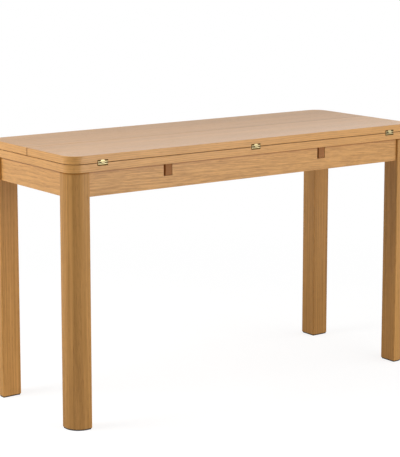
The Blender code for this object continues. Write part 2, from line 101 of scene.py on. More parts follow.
# Legs: the cut that the corner brace needs, and how far it runs on below the brace
LEG_CHAMFER = 0.012
LEG_CHAMFER_RUNOUT = 0.003

# Hinges: the gap that the solids keep, the plate pockets' depth and half the length of a plate's tab
SOLID_GAP = 0.0003
POCKET_DEPTH = 0.0012
HALF_TAB = 0.006

# Hinge screws: their distance from the hinge's middle and line, how far they stand proud, head and shank
HINGE_SCREW_ASIDE = 0.0112
HINGE_SCREW_RISE = 0.00435
HINGE_SCREW_PROUD = 0.0006
HINGE_SCREW_HEAD = 0.0008
HINGE_SCREW_SHANK = 0.006

# The two screws of a plate: the side of the hinge's middle, and the turn of the slot in radians
HINGE_SCREWS = ((-1.0, -0.2), (1.0, 0.8))

# Keeper screws: their distance from the keeper's ends and sides, how far they stand proud, head and shank
KEEPER_SCREW_FROM_END = 0.010
KEEPER_SCREW_FROM_SIDE = 0.018
KEEPER_SCREW_PROUD = 0.0002
KEEPER_SCREW_HEAD = 0.0022
KEEPER_SCREW_SHANK = 0.012

# How far a keeper screw's slot is turned, in radians per metre of X
KEEPER_SCREW_TURN = 40.0

# Oak markings: how often each changes per metre along the grain, across it and into the board
SWAY_SCALE = (1.9, 7.0, 7.0)
BAND_SCALE = (1.1, 26.0, 26.0)
FIBRE_SCALE = (7.0, 420.0, 420.0)
PORE_SCALE = (38.0, 1300.0, 1300.0)

# The part of a noise's values that most points have, and where a yearly ring clears and ends
NOISE_RANGE = (0.30, 0.70)
RING_CLEARS = (0.05, 0.75)
RING_ENDS = (0.93, 1.0)

# Floor: half its width and how far it lies under the glides
FLOOR_HALF = 14.0
FLOOR_DROP = 0.0005


class Board(NamedTuple):
    """How a board was cut from its log, in metres and in the table's own axes.

    The grain runs along one axis; the heart of the log is pith_across and pith_depth away from the
    origin on the two others, and drift is how far it strays in depth per metre of grain. bend is how many
    rings the grain sways by, waves how many finer waves ride on that sway, and slope how far the fibres
    sink across the board per metre along it. figure, streaks and bands are the shares of these in the
    colour. streak_scale is how often streaks change per metre along and across the grain, and streak_blur
    how softly they change, from 0 to 0.5.
    """

    along: int
    across: int
    depth: int
    pith_across: float
    pith_depth: float
    drift: float
    ring: float
    seed: float
    tone: float = 1.0
    figure: float = 0.40
    streaks: float = 0.32
    bands: float = 0.12
    bend: float = 5.0
    waves: float = 1.0
    streak_scale: tuple = (3.0, 110.0)
    streak_blur: float = 0.20
    slope: float = 0.0


# Veneer of the three panels, and the solid lipping round them
VENEER = Board(
    along=0,
    across=1,
    depth=2,
    pith_across=0.62,
    pith_depth=0.60,
    drift=0.02,
    ring=0.0060,
    seed=0.0,
    figure=0.34,
    streaks=0.26,
    bands=0.26,
)
PANEL_BOARDS = {
    "fixed_top": VENEER,
    "front_leaf": VENEER._replace(pith_across=-0.60, pith_depth=0.55, drift=0.03, seed=3.0),
    # The rear leaf's oak is drawn 2% darker: painted shade for the top growing darker towards the back
    "rear_leaf": VENEER._replace(
        pith_across=0.66, pith_depth=0.58, drift=-0.02, ring=0.0065, seed=7.0, tone=0.98
    ),
}
LIPPING_BOARD = Board(
    along=0,
    across=1,
    depth=2,
    pith_across=0.40,
    pith_depth=0.08,
    drift=0.02,
    ring=0.0060,
    seed=4.0,
    tone=1.05,
    figure=0.30,
    streaks=0.34,
    streak_scale=(9.0, 150.0),
)

# Solid oak of a leg, with the log's heart measured from the leg's middle, and the seeds' step between legs
LEG_BOARD = Board(
    along=2,
    across=0,
    depth=1,
    pith_across=0.075,
    pith_depth=0.11,
    drift=0.0,
    ring=0.0042,
    seed=2.0,
    figure=0.34,
    streaks=0.46,
    bend=1.0,
)
LEG_SEED_STEP = 5.0

# Solid oak of the long aprons, whose fibres run out at a slope, and of the short ones
LONG_APRON = Board(
    along=0,
    across=2,
    depth=1,
    pith_across=0.600,
    pith_depth=-0.175,
    drift=0.035,
    ring=0.0056,
    seed=1.0,
    tone=0.97,
    figure=0.24,
    streaks=0.62,
    waves=4.0,
    streak_scale=(18.0, 210.0),
    streak_blur=0.14,
    slope=0.055,
)
SHORT_APRON = Board(
    along=1,
    across=2,
    depth=0,
    pith_across=0.40,
    pith_depth=-0.56,
    drift=0.03,
    ring=0.0120,
    seed=5.0,
    figure=0.26,
    streaks=0.44,
    waves=4.0,
    streak_scale=(18.0, 210.0),
)
APRON_BOARDS = {
    "front": LONG_APRON,
    "rear": LONG_APRON._replace(pith_across=0.610, pith_depth=0.170, drift=-0.03, seed=9.0, slope=-0.055),
    "left": SHORT_APRON,
    "right": SHORT_APRON._replace(pith_across=0.42, pith_depth=0.56, drift=-0.03, seed=13.0),
}


def colour_property(name, description, default):
    """A colour that a user may change."""
    return FloatVectorProperty(
        name=name, description=description, subtype="COLOR", size=3, min=0.0, max=1.0, default=default
    )


def length_property(name, description, default, **limits):
    """A length in metres that a user may change."""
    return FloatProperty(
        name=name, description=description, subtype="DISTANCE", unit="LENGTH", default=default, **limits
    )


def angle_property(name, description, degrees, **limits):
    """An angle that a user may change, with its default in degrees."""
    default = math.radians(degrees)
    return FloatProperty(
        name=name, description=description, subtype="ANGLE", unit="ROTATION", default=default, **limits
    )


def power_property(name, description, default):
    """A lamp's power in watts that a user may change."""
    return FloatProperty(
        name=name, description=description, subtype="POWER", unit="POWER", min=0.0, default=default
    )


def share_property(name, description, default, low=0.0):
    """A share of 1 that a user may change."""
    return FloatProperty(
        name=name, description=description, subtype="FACTOR", min=low, max=1.0, default=default
    )


def strength_property(name, description, default, high):
    """A light's strength that a user may change."""
    return FloatProperty(name=name, description=description, min=0.0, max=high, default=default)


def count_property(name, description, default, low, high):
    """A number of faces that a user may change."""
    return IntProperty(name=name, description=description, min=low, max=high, default=default)


class WoodLook(bpy.types.PropertyGroup):
    """Colours and finish of the timber."""

    oak_late: colour_property(
        "Oak latewood", "Colour of the dense wood between the rings", (0.730, 0.376, 0.115)
    )
    oak_early: colour_property(
        "Oak earlywood", "Colour of the porous wood at each ring", (0.470, 0.225, 0.058)
    )
    oak_pore: colour_property("Oak pores", "Colour of the open pores", (0.300, 0.125, 0.032))
    # Painted shade: the dark band just under the top stands in for the shadow under the overhang
    oak_joint_shade: colour_property(
        "Oak joint", "Colour of the stained wood along the joint under the top", (0.330, 0.126, 0.014)
    )
    loper: colour_property(
        "Loper wood", "Colour of the dark hardwood of the pull-out supports", (0.510, 0.206, 0.057)
    )
    hardwood: colour_property(
        "Hardwood", "Colour of the plain hardwood inside the frame", (0.560, 0.365, 0.190)
    )
    lacquer_roughness: share_property(
        "Lacquer roughness", "Roughness of the satin lacquer on the oak", 0.32, low=0.05
    )


class HardwareLook(bpy.types.PropertyGroup):
    """Colours and sizes of the small fittings."""

    brass: colour_property("Brass", "Colour of the hinges and their screws", (0.560, 0.465, 0.250))
    # Painted shade: the dark bands along the hinge plates' edges and ends stand in for the shadow gaps
    # round them
    plate_shade: colour_property(
        "PlateShade", "Colour of the tarnished edges of the hinge plates", (0.085, 0.048, 0.008)
    )
    zinc: colour_property("Zinc", "Colour of the plated steel under the table", (0.620, 0.620, 0.600))
    felt: colour_property("Felt", "Colour of the glides' raised fibres", (0.060, 0.054, 0.048))
    metal_roughness: share_property("Metal roughness", "Roughness of the brass and the plated steel", 0.36)
    hinge_screw_radius: length_property(
        "Hinge screw radius", "Radius of a hinge screw's head", 0.0017, min=0.001, max=0.006
    )
    keeper_screw_radius: length_property(
        "Keeper screw radius", "Radius of the head of a keeper's screw", 0.0040, min=0.001, max=0.008
    )


class ShapeLook(bpy.types.PropertyGroup):
    """Roundings of the oak pieces."""

    panel_radius: length_property(
        "Panel corner radius", "Radius of the panels' corners, seen from above", 0.040, min=0.005, max=0.1
    )
    panel_arris: length_property(
        "Panel arris", "Rounding of the panels' edges", 0.0007, min=0.0003, max=0.005
    )
    leg_radius: length_property(
        "Leg corner radius", "Radius of each leg's outer corner", 0.045, min=0.005, max=0.055
    )
    leg_arris: length_property(
        "Leg arris", "Rounding of each leg's other corners", 0.003, min=0.0005, max=0.006
    )
    arc_steps: count_property(
        "Arc steps", "Faces along a quarter turn of a large radius", 40, low=8, high=96
    )
    arris_steps: count_property(
        "Arris steps", "Faces along a quarter turn of a small rounding", 4, low=2, high=12
    )


class StageLook(bpy.types.PropertyGroup):
    """Camera, lights and floor."""

    azimuth: angle_property(
        "Camera azimuth", "Turn of the view from straight ahead towards the table's left end", 36.06
    )
    pitch: angle_property("Camera pitch", "How far the camera looks down", 8.514)
    distance: length_property(
        "Camera distance", "Level distance from the camera to the table's axis", 4.582
    )
    sideways: length_property("Camera sideways", "Level move of the camera to its right", -0.026)
    height: length_property("Camera height", "Height of the camera above the floor", 1.3563)
    lens: FloatProperty(
        name="Lens",
        description="Focal length in millimetres for a 36 mm sensor on the long side",
        subtype="DISTANCE_CAMERA",
        unit="CAMERA",
        min=20.0,
        max=300.0,
        default=121.15,
    )
    rise: FloatProperty(
        name="Lens shift", description="Vertical lens shift", min=-1.0, max=1.0, default=-0.15
    )
    ambient: strength_property(
        "Ambient light", "Strength of the white light from all round", 0.50, high=2.0
    )
    mirrored: strength_property(
        "Mirrored white", "Strength of the surroundings in reflections", 0.78, high=2.0
    )
    front_dim: share_property(
        "Dim front", "Share of the ambient and the mirrored white that is left on the camera's side", 0.30
    )
    left_power: power_property("Left softbox", "Power of the softbox off the left end", 29.0)
    front_power: power_property("Front softbox", "Power of the low softbox in front", 15.0)
    reflector_power: power_property(
        "Reflector", "Power of the panel above the table, which shows in reflections only", 12.0
    )
    right_strength: strength_property(
        "Right lamp", "Strength of the far soft lamp off the right end", 1.0, high=10.0
    )
    right_spread: angle_property(
        "Right lamp spread", "How wide the right lamp looks from the table", 70.0, min=0.0, max=math.pi
    )
    right_turn: angle_property(
        "Right lamp turn", "Turn of the right lamp from the front towards the right end", 50.0
    )
    right_rise: angle_property("Right lamp rise", "Height of the right lamp above the horizon", 13.0)


class Graph:
    """Short ways to add shader nodes to one material or world."""

    def __init__(self, owner):
        self.owner = owner
        owner.use_nodes = True
        self.nodes = owner.node_tree.nodes
        self.links = owner.node_tree.links

    def put(self, value, socket):
        """Links a socket to an input, or sets a plain value there."""
        if isinstance(value, bpy.types.NodeSocket):
            self.links.new(value, socket)
        else:
            socket.default_value = value

    def add(self, kind, *values, **named):
        """A new node with its inputs set or linked, by their order or by their names."""
        node = self.nodes.new(kind)
        for value, socket in zip(values, node.inputs):
            self.put(value, socket)
        for name, value in named.items():
            self.put(value, node.inputs[name.replace("_", " ")])
        return node

    def math(self, operation, a, b=0.0):
        """One step of arithmetic."""
        node = self.add("ShaderNodeMath", a, b)
        node.operation = operation
        return node.outputs[0]

    def total(self, *values):
        """The sum of some numbers."""
        result = values[0]
        for value in values[1:]:
            result = self.math("ADD", result, value)
        return result

    def stretch(self, place, factors):
        """A vector of three coordinates, each times its own factor."""
        scaled = [self.math("MULTIPLY", part, factor) for part, factor in zip(place, factors)]
        return self.add("ShaderNodeCombineXYZ", *scaled).outputs[0]

    def noise(self, vector, detail=2.0, roughness=0.5):
        """A noise from 0 to 1, at the vector's own scale."""
        node = self.add("ShaderNodeTexNoise", Vector=vector, Scale=1.0, Detail=detail, Roughness=roughness)
        return node.outputs["Fac"]

    def spread(self, value, low, high, to_low=0.0, to_high=1.0):
        """Stretches a range of a value smoothly onto another one."""
        node = self.add("ShaderNodeMapRange", value, low, high, to_low, to_high)
        node.interpolation_type = "SMOOTHSTEP"
        return node.outputs["Result"]

    def blend(self, factor, a, b):
        """Mixes two colours."""
        node = self.add("ShaderNodeMix", factor)
        node.data_type = "RGBA"
        for value, socket in ((a, node.inputs[6]), (b, node.inputs[7])):
            self.put(value if isinstance(value, bpy.types.NodeSocket) else (*value, 1.0), socket)
        return node.outputs[2]

    def lerp(self, factor, a, b):
        """Mixes two numbers."""
        node = self.add("ShaderNodeMix", factor)
        self.put(a, node.inputs[2])
        self.put(b, node.inputs[3])
        return node.outputs[0]

    def place(self):
        """The three object coordinates and the three parts of the object-space normal."""
        coordinates = self.add("ShaderNodeTexCoord").outputs
        place = self.add("ShaderNodeSeparateXYZ", coordinates["Object"]).outputs
        normal = self.add("ShaderNodeSeparateXYZ", coordinates["Normal"]).outputs
        return tuple(place), tuple(normal)

    def dim_side(self, direction, side, low):
        """1 all round, falling smoothly to a low share on the side that a level vector points to."""
        dim_range = (0.3, 0.85)
        node = self.add("ShaderNodeVectorMath", direction, side)
        node.operation = "DOT_PRODUCT"
        return self.spread(node.outputs["Value"], *dim_range, 1.0, low)

    def finish(self, colour, roughness, height, bump_depth, **plain):
        """Joins colour, roughness and bump to the shader and sets its plain sockets."""
        shader = self.nodes["Principled BSDF"]
        bump = self.add("ShaderNodeBump", Strength=1.0, Distance=bump_depth, Height=height)
        self.links.new(bump.outputs["Normal"], shader.inputs["Normal"])
        self.links.new(colour, shader.inputs["Base Color"])
        self.links.new(roughness, shader.inputs["Roughness"])
        for name, value in plain.items():
            shader.inputs[name.replace("_", " ")].default_value = value
        return self.owner


def new_material(name):
    """A fresh material's graph."""
    return Graph(bpy.data.materials.new(name))


def shaded(colour, share):
    """A colour with each part times a share."""
    return tuple(share * part for part in colour)


def year_rings(graph, swayed, stray, board):
    """How far each point's year has cleared, from 0 in the dark porous band to 1 in the dense wood.

    The distance from the log's heart is counted in rings, which a noise makes uneven, and its fraction
    is the time of the year.
    """
    ring_change = 0.45
    unevenness = 1.6
    across = graph.math("ADD", swayed[1], -board.pith_across - board.bend * board.ring / 2)
    depth = graph.math("ADD", swayed[2], -board.pith_depth - board.bend * board.ring / 2)
    depth = graph.math("ADD", depth, stray)
    square = graph.total(graph.math("POWER", across, 2.0), graph.math("POWER", depth, 2.0))
    rings = graph.math("DIVIDE", graph.math("SQRT", square), board.ring)
    uneven = graph.noise(graph.stretch((rings, board.seed, 0.0), (ring_change, 1.0, 1.0)), detail=0.0)
    year = graph.math("FRACT", graph.math("ADD", rings, graph.math("MULTIPLY", uneven, unevenness)))
    cleared = graph.spread(year, *RING_CLEARS)
    going_on = graph.spread(year, *RING_ENDS, 1.0, 0.0)
    return graph.math("MULTIPLY", cleared, going_on)


def oak_grain(graph, place, board, wood):
    """Colour, roughness and height of oak at each point of a board.

    The board's own coordinates, bent by two slow noises, carry the yearly rings and the streaks. Stretched
    noises add bands, fibres and pores, and the pores are fewer in the dense wood of a ring.
    """
    noises_apart = 3.7
    pore_range = (0.55, 0.68)
    pores_in_dense = 0.35
    pore_share = 0.55
    pore_rough = 0.12
    fibre_rough = 0.10
    fibre_height = 0.5
    sunk = graph.math("MULTIPLY", place[board.along], board.slope)
    grain = (
        graph.math("ADD", place[board.along], board.seed),
        graph.math("ADD", place[board.across], sunk),
        place[board.depth],
    )
    swayed = [grain[0]]
    for axis in (1, 2):
        shift = [graph.math("ADD", part, noises_apart * axis) for part in grain]
        sway = graph.noise(graph.stretch(shift, SWAY_SCALE), detail=board.waves)
        bent = graph.math("MULTIPLY", sway, board.bend * board.ring)
        swayed.append(graph.math("ADD", grain[axis], bent))
    stray = graph.math("MULTIPLY", place[board.along], board.drift)
    late = year_rings(graph, swayed, stray, board)
    lengthwise, crosswise = board.streak_scale
    streak_scale = (lengthwise, crosswise, crosswise)
    streak = graph.noise(graph.stretch(swayed, streak_scale), detail=3.0, roughness=0.70)
    streak = graph.spread(streak, 0.5 - board.streak_blur, 0.5 + board.streak_blur)
    fibre = graph.noise(graph.stretch(grain, FIBRE_SCALE), detail=3.0, roughness=0.6)
    pore_noise = graph.noise(graph.stretch(grain, PORE_SCALE), detail=1.0)
    open_share = graph.spread(late, 0.0, 1.0, 1.0, pores_in_dense)
    pores = graph.math("MULTIPLY", graph.spread(pore_noise, *pore_range), open_share)
    band = graph.noise(graph.stretch(grain, BAND_SCALE), roughness=0.6)
    fibres = 1.0 - board.figure - board.streaks - board.bands
    tone = graph.total(
        graph.math("MULTIPLY", late, board.figure),
        graph.math("MULTIPLY", streak, board.streaks),
        graph.math("MULTIPLY", graph.spread(band, *NOISE_RANGE), board.bands),
        graph.math("MULTIPLY", graph.spread(fibre, *NOISE_RANGE), fibres),
    )
    colour = graph.blend(tone, shaded(wood.oak_early, board.tone), shaded(wood.oak_late, board.tone))
    in_pores = graph.math("MULTIPLY", pores, pore_share)
    colour = graph.blend(in_pores, colour, shaded(wood.oak_pore, board.tone))
    rough = graph.total(
        graph.math("MULTIPLY", fibre, fibre_rough),
        graph.math("MULTIPLY", pores, pore_rough),
        wood.lacquer_roughness - fibre_rough / 2,
    )
    height = graph.math("SUBTRACT", graph.math("MULTIPLY", fibre, fibre_height), pores)
    return colour, rough, height


class Lipping(NamedTuple):
    """The solid edge round a panel: its board, and the half length, half depth and radius of its rim."""

    board: Board
    half_x: float
    half_y: float
    radius: float


class Pocket(NamedTuple):
    """Where a panel is recessed for its hinges: limits on |X|, |Y| and Z."""

    end: float
    inner: float
    outer: float
    low: float
    high: float


def rim_place(graph, place, lipping):
    """A lipping's own straight coordinates: the length along the rim, the height, and no depth.

    The length is |X| along a long edge, then the corner's radius times the angle turned, then what |Y| has
    lost from the corner on; it has the sign of X.
    """
    flat_x = lipping.half_x - lipping.radius
    flat_y = lipping.half_y - lipping.radius
    size_x, size_y = [graph.math("ABSOLUTE", part) for part in place[:2]]
    straight_x = graph.math("MINIMUM", size_x, flat_x)
    straight_y = graph.math("MINIMUM", size_y, flat_y)
    over_x = graph.math("SUBTRACT", size_x, straight_x)
    over_y = graph.math("SUBTRACT", size_y, straight_y)
    bow = graph.math("MULTIPLY", graph.math("ARCTAN2", over_x, over_y), lipping.radius)
    length = graph.total(straight_x, bow, graph.math("SUBTRACT", flat_y, straight_y))
    return graph.math("MULTIPLY", length, graph.math("SIGN", place[0])), place[2], 0.0


def joint_painted_shade(graph, place, joint):
    """How much painted shade darkens the wood under the overhanging top: most just under the joint's
    height, and nothing a little lower.
    """
    reach = 0.0065
    full = 0.0018
    share = 0.95
    return graph.spread(place[2], joint - reach, joint - full, 0.0, share)


def seam_painted_shade(graph, place, normal, seam_shade):
    """How much painted shade darkens the wood along the table's middle line, where the leaves meet.

    Faces that look up get painted shade near the line, more towards the right end, and end faces get a thin
    painted shadow line.
    """
    upward_shade_reach = (0.001, 0.006)
    upward_shade_ends = (-0.30, 0.30)
    least_upward_shade = 0.3
    line_reach = (0.0016, 0.0036)
    line_share = 0.9
    facing_up = (0.2, 0.6)
    facing_end = (0.5, 0.8)
    off_seam = graph.math("ABSOLUTE", place[1])
    # Painted shade on faces that look up, near the seam
    upward_shade = graph.math("MULTIPLY", graph.spread(off_seam, *upward_shade_reach, 1.0, 0.0), seam_shade)
    more = graph.spread(place[0], *upward_shade_ends, least_upward_shade, 1.0)
    above = graph.spread(normal[2], *facing_up)
    upward_shade = graph.math("MULTIPLY", upward_shade, graph.math("MULTIPLY", more, above))
    at_end = graph.spread(graph.math("ABSOLUTE", normal[0]), *facing_end)
    # Painted shadow line on the end faces at the seam
    line = graph.math("MULTIPLY", graph.spread(off_seam, *line_reach, line_share, 0.0), at_end)
    return graph.math("MAXIMUM", upward_shade, line)


def pocket_shade_mask(graph, place, pocket):
    """1 on surfaces inside the hinge pockets, where painted shade darkens the wood, and 0 elsewhere."""
    size_x, size_y = [graph.math("ABSOLUTE", part) for part in place[:2]]
    inside = graph.math("LESS_THAN", size_x, pocket.end)
    for test, size, limit in (
        ("GREATER_THAN", size_y, pocket.inner),
        ("LESS_THAN", size_y, pocket.outer),
        ("GREATER_THAN", place[2], pocket.low),
        ("LESS_THAN", place[2], pocket.high),
    ):
        inside = graph.math("MULTIPLY", inside, graph.math(test, size, limit))
    return inside


def oak_material(name, board, wood, lipping=None, pocket=None, seam_shade=0.0, joint=None, gloss=0.5):
    """Lacquered oak of one board.

    A lipping covers the upright faces, and surfaces inside the pocket are matte and darkened with painted
    shade.
    seam_shade is the share of painted shade along the table's middle line, where the leaves meet. joint is
    the height of a joint under which painted shade darkens the wood, for the shadow under the overhanging
    top.
    """
    flat_face = (0.60, 0.80)
    # Painted shade: the share of the pore colour that the pocket's surfaces keep
    pocket_shade_share = 0.25
    bare_roughness = 0.9
    graph = new_material(name)
    place, normal = graph.place()
    colour, roughness, height = oak_grain(graph, place, board, wood)
    if lipping is not None:
        is_rim = graph.spread(graph.math("ABSOLUTE", normal[2]), *flat_face, 1.0, 0.0)
        rim = rim_place(graph, place, lipping)
        rim_colour, rim_roughness, rim_height = oak_grain(graph, rim, lipping.board, wood)
        colour = graph.blend(is_rim, colour, rim_colour)
        roughness = graph.lerp(is_rim, roughness, rim_roughness)
        height = graph.lerp(is_rim, height, rim_height)
    if joint is not None:
        # Painted shade just under the top's joint, for the shadow under the overhang
        colour = graph.blend(joint_painted_shade(graph, place, joint), colour, wood.oak_joint_shade)
    if seam_shade:
        # Painted shade along the seam between the leaves
        colour = graph.blend(seam_painted_shade(graph, place, normal, seam_shade), colour, wood.oak_pore)
    if pocket is not None:
        in_pocket = pocket_shade_mask(graph, place, pocket)
        # Painted shade in the hinge pockets: the recess is drawn dark
        colour = graph.blend(in_pocket, colour, shaded(wood.oak_pore, pocket_shade_share))
        roughness = graph.lerp(in_pocket, roughness, bare_roughness)
    return graph.finish(colour, roughness, height, bump_depth=0.00012, IOR=1.5, Specular_IOR_Level=gloss)


def hardwood_material(name, along, light):
    """Close-grained hardwood with faint streaks and flecks, and darker layered grain on the ends."""
    streak_scale = (3.0, 90.0, 90.0)
    fleck_scale = (60.0, 700.0, 700.0)
    layer_scale = (0.0, 130.0, 520.0)
    fleck_range = (0.58, 0.70)
    facing_end = (0.6, 0.8)
    dark_share = 0.70
    end_share = 0.80
    fleck_share = 0.5
    least_rough = 0.5
    streak_rough = 0.15
    graph = new_material(name)
    place, normal = graph.place()
    across = [axis for axis in range(3) if axis != along]
    grain = (place[along], place[across[0]], place[across[1]])
    streak = graph.noise(graph.stretch(grain, streak_scale), detail=3.0, roughness=0.6)
    fleck = graph.noise(graph.stretch(grain, fleck_scale), detail=1.0)
    dark = shaded(light, dark_share)
    colour = graph.blend(graph.spread(streak, *NOISE_RANGE), dark, light)
    colour = graph.blend(graph.spread(fleck, *fleck_range, 0.0, fleck_share), colour, dark)
    layers = graph.noise(graph.stretch(grain, layer_scale), roughness=0.6)
    end = graph.blend(graph.spread(layers, *NOISE_RANGE), shaded(dark, end_share), dark)
    on_end = graph.spread(graph.math("ABSOLUTE", normal[along]), *facing_end)
    colour = graph.blend(on_end, colour, end)
    roughness = graph.math("ADD", graph.math("MULTIPLY", streak, streak_rough), least_rough)
    return graph.finish(colour, roughness, fleck, bump_depth=0.0001, Specular_IOR_Level=0.25)


class PlateShade(NamedTuple):
    """Painted shade on hinges: its colour, their axis' height, their spacing on X, and half a plate and a
    tab.
    """

    colour: tuple
    height: float
    spacing: float
    half_plate: float
    half_tab: float


def plate_shade_mask(graph, place, plate_shade):
    """Where painted shade darkens the hinge plates: 1 away from the hinge line and at the plates' ends, but
    0 on the tab above each hinge's middle.
    """
    far_range = (0.0037, 0.0049)
    end_from = 0.0024
    end_to = 0.0010
    rise = graph.math("SUBTRACT", place[2], plate_shade.height)
    aside = graph.math("PINGPONG", place[0], plate_shade.spacing / 2)
    above = graph.math("GREATER_THAN", rise, 0.0)
    on_tab = graph.math("MULTIPLY", above, graph.math("LESS_THAN", aside, plate_shade.half_tab))
    far = graph.spread(graph.math("ABSOLUTE", rise), *far_range)
    at_end = graph.spread(aside, plate_shade.half_plate - end_from, plate_shade.half_plate - end_to)
    outer = graph.math("MAXIMUM", far, at_end)
    return graph.math("MULTIPLY", outer, graph.math("SUBTRACT", 1.0, on_tab))


def metal_material(name, colour, roughness, grain_axis=0, plate_shade=None):
    """Plated or polished metal with fine brush marks, faint staining and, on hinges, painted shade along
    the plates' edges and ends.
    """
    along = 60.0
    across = 1800.0
    stain_scale = (140.0, 140.0, 140.0)
    stain_range = (0.35, 0.75)
    stained_share = 0.78
    brush_rough = 0.14
    graph = new_material(name)
    place, _ = graph.place()
    brush_scale = [along if axis == grain_axis else across for axis in range(3)]
    brush = graph.noise(graph.stretch(place, brush_scale))
    stain = graph.noise(graph.stretch(place, stain_scale), detail=3.0)
    shade = graph.blend(graph.spread(stain, *stain_range), colour, shaded(colour, stained_share))
    if plate_shade is not None:
        # Painted shade on the hinge plates' edges and ends
        shade = graph.blend(plate_shade_mask(graph, place, plate_shade), shade, plate_shade.colour)
    rough = graph.math("ADD", graph.math("MULTIPLY", brush, brush_rough), roughness - brush_rough / 2)
    return graph.finish(shade, rough, brush, bump_depth=0.00002, Metallic=1.0)


def felt_material(name, light):
    """Dark felt with a loose fibre."""
    fuzz_scale = (900.0, 900.0, 900.0)
    dark_share = 1.0 / 3.0
    least_rough = 0.85
    graph = new_material(name)
    place, _ = graph.place()
    fuzz = graph.noise(graph.stretch(place, fuzz_scale), detail=3.0, roughness=0.7)
    colour = graph.blend(graph.spread(fuzz, *NOISE_RANGE), shaded(light, dark_share), light)
    rough = graph.spread(fuzz, 0.0, 1.0, least_rough, 1.0)
    return graph.finish(colour, rough, fuzz, bump_depth=0.0004)


def wear(node_name, material):
    """Gives a node of the frame its material."""
    node = frame["nodes"][node_name]
    node.data.materials.clear()
    node.data.materials.append(material)


def body_of_node(node_name):
    """The body that carries a node of the frame."""
    return frame["nodes"][node_name]["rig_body"]


def add_surface(name, grids, material, body, replaced=()):
    """A piece made of closed surfaces, each a grid of points whose rows are rings.

    Neighbouring points of two rows make quads, and an n-gon closes the first and the last row.
    """
    merge_distance = 1e-6
    sharp_angle = math.radians(35)
    points = []
    faces = []
    start = 0
    for grid in grids:
        rows, columns, _ = grid.shape
        index = start + np.arange(rows * columns).reshape(rows, columns)
        ahead = np.roll(index, -1, axis=1)
        quads = np.stack([index[:-1], ahead[:-1], ahead[1:], index[1:]], axis=-1).reshape(-1, 4)
        faces += quads.tolist()
        faces.append(index[0, ::-1].tolist())
        faces.append(index[-1].tolist())
        points.append(grid.reshape(-1, 3))
        start += rows * columns
    mesh = bpy.data.meshes.new(name)
    mesh.from_pydata(np.concatenate(points), [], faces)
    bm = bmesh.new()
    bm.from_mesh(mesh)
    bmesh.ops.remove_doubles(bm, verts=bm.verts[:], dist=merge_distance)
    bm.to_mesh(mesh)
    bm.free()
    mesh.shade_smooth()
    mesh.set_sharp_from_angle(angle=sharp_angle)
    mesh.materials.append(material)
    piece = bpy.data.objects.new(name, mesh)
    bpy.context.scene.collection.objects.link(piece)
    even = piece.modifiers.new("even_shading", "WEIGHTED_NORMAL")
    even.keep_sharp = True
    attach(piece, body)
    if replaced:
        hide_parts(*replaced)
    return piece


def arc(centre, radius, start, steps):
    """A quarter circle of points with their outward directions, counter-clockwise from start degrees.

    A direction is the angle's cosine and sine, and a point is the centre plus the radius times it.
    """
    angle = np.radians(np.linspace(start, start + 90.0, steps + 1))
    outward = np.stack([np.cos(angle), np.sin(angle)], axis=1)
    return np.asarray(centre) + radius * outward, outward


def corner_arcs(low, high, radii, steps):
    """The four corner arcs of a rounded rectangle, counter-clockwise from the low corner.

    Each arc's centre is its corner moved inwards by the arc's radius along both axes.
    """
    corners = (
        (low[0], low[1], 1, 1, 180.0),
        (high[0], low[1], -1, 1, 270.0),
        (high[0], high[1], -1, -1, 0.0),
        (low[0], high[1], 1, -1, 90.0),
    )
    found = []
    for (x, y, to_x, to_y, start), radius, count in zip(corners, radii, steps):
        found.append(arc((x + to_x * radius, y + to_y * radius), radius, start, count))
    return found


def quarter(arris, steps):
    """Rise and inset along a rounded edge, from the flat face to the upright side.

    They are the rounding times 1 less the angle's cosine, and times 1 less its sine.
    """
    angle = np.linspace(0.0, math.pi / 2, steps + 1)
    return arris * (1.0 - np.cos(angle)), arris * (1.0 - np.sin(angle))


def upright(plan, heights):
    """Adds each row's height to a grid of plan points."""
    return np.concatenate([plan, np.broadcast_to(heights[:, None, None], plan.shape[:2] + (1,))], axis=2)


class HingeSeat(NamedTuple):
    """Where the hinges lie, and the sizes of their pockets, measured into and along a panel's edge."""

    centres: tuple
    axis_height: float
    half_plate: float
    half_barrel: float
    pocket_depth: float
    barrel_depth: float
    pocket_reach: float
    barrel_reach: float


def hinge_seat():
    """The pockets, from the hinges' places in the frame and the gap that the solids keep."""
    centres = []
    for spot in HINGE_SPOTS:
        low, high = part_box(f"hinge_pin_front_{spot}")
        centres.append((low.x + high.x) / 2)
    plate_low, plate_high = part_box("hinge_leaf_plate_front_left")
    pin_low, pin_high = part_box("hinge_pin_front_left")
    top_low, top_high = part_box("fixed_top")
    axis_y = (pin_low.y + pin_high.y) / 2
    axis_z = (pin_low.z + pin_high.z) / 2
    barrel = axis_y - plate_low.y
    return HingeSeat(
        centres=tuple(centres),
        axis_height=axis_z,
        half_plate=(plate_high.x - plate_low.x) / 2 + SOLID_GAP,
        half_barrel=(pin_high.x - pin_low.x) / 2 + SOLID_GAP,
        pocket_depth=POCKET_DEPTH,
        barrel_depth=axis_y + barrel + SOLID_GAP - top_low.y,
        pocket_reach=plate_high.z - axis_z + SOLID_GAP - (axis_z - top_high.z),
        barrel_reach=barrel + SOLID_GAP - (axis_z - top_high.z),
    )


def edge_stations(x_from, x_to, seat):
    """Places along a hinged edge and how deep each stands: 0 plain, 1 in a plate pocket, 2 in a barrel's.

    A border is a hinge's centre plus or minus half a plate or half a barrel, and is given twice, so that
    the pocket's wall stands square between the two.
    """
    turn = 1.0 if x_to > x_from else -1.0
    centres = np.sort(np.asarray(seat.centres))[:: int(turn)]
    steps = turn * np.array([-1, -1, -1, -1, 1, 1, 1, 1])
    reach = np.array([1, 1, 0, 0, 0, 0, 1, 1])
    width = np.where(reach == 1, seat.half_plate, seat.half_barrel)
    x = (centres[:, None] + steps * width).ravel()
    level = np.tile(np.array([0, 1, 1, 2, 2, 1, 1, 0]), len(centres))
    return x, level


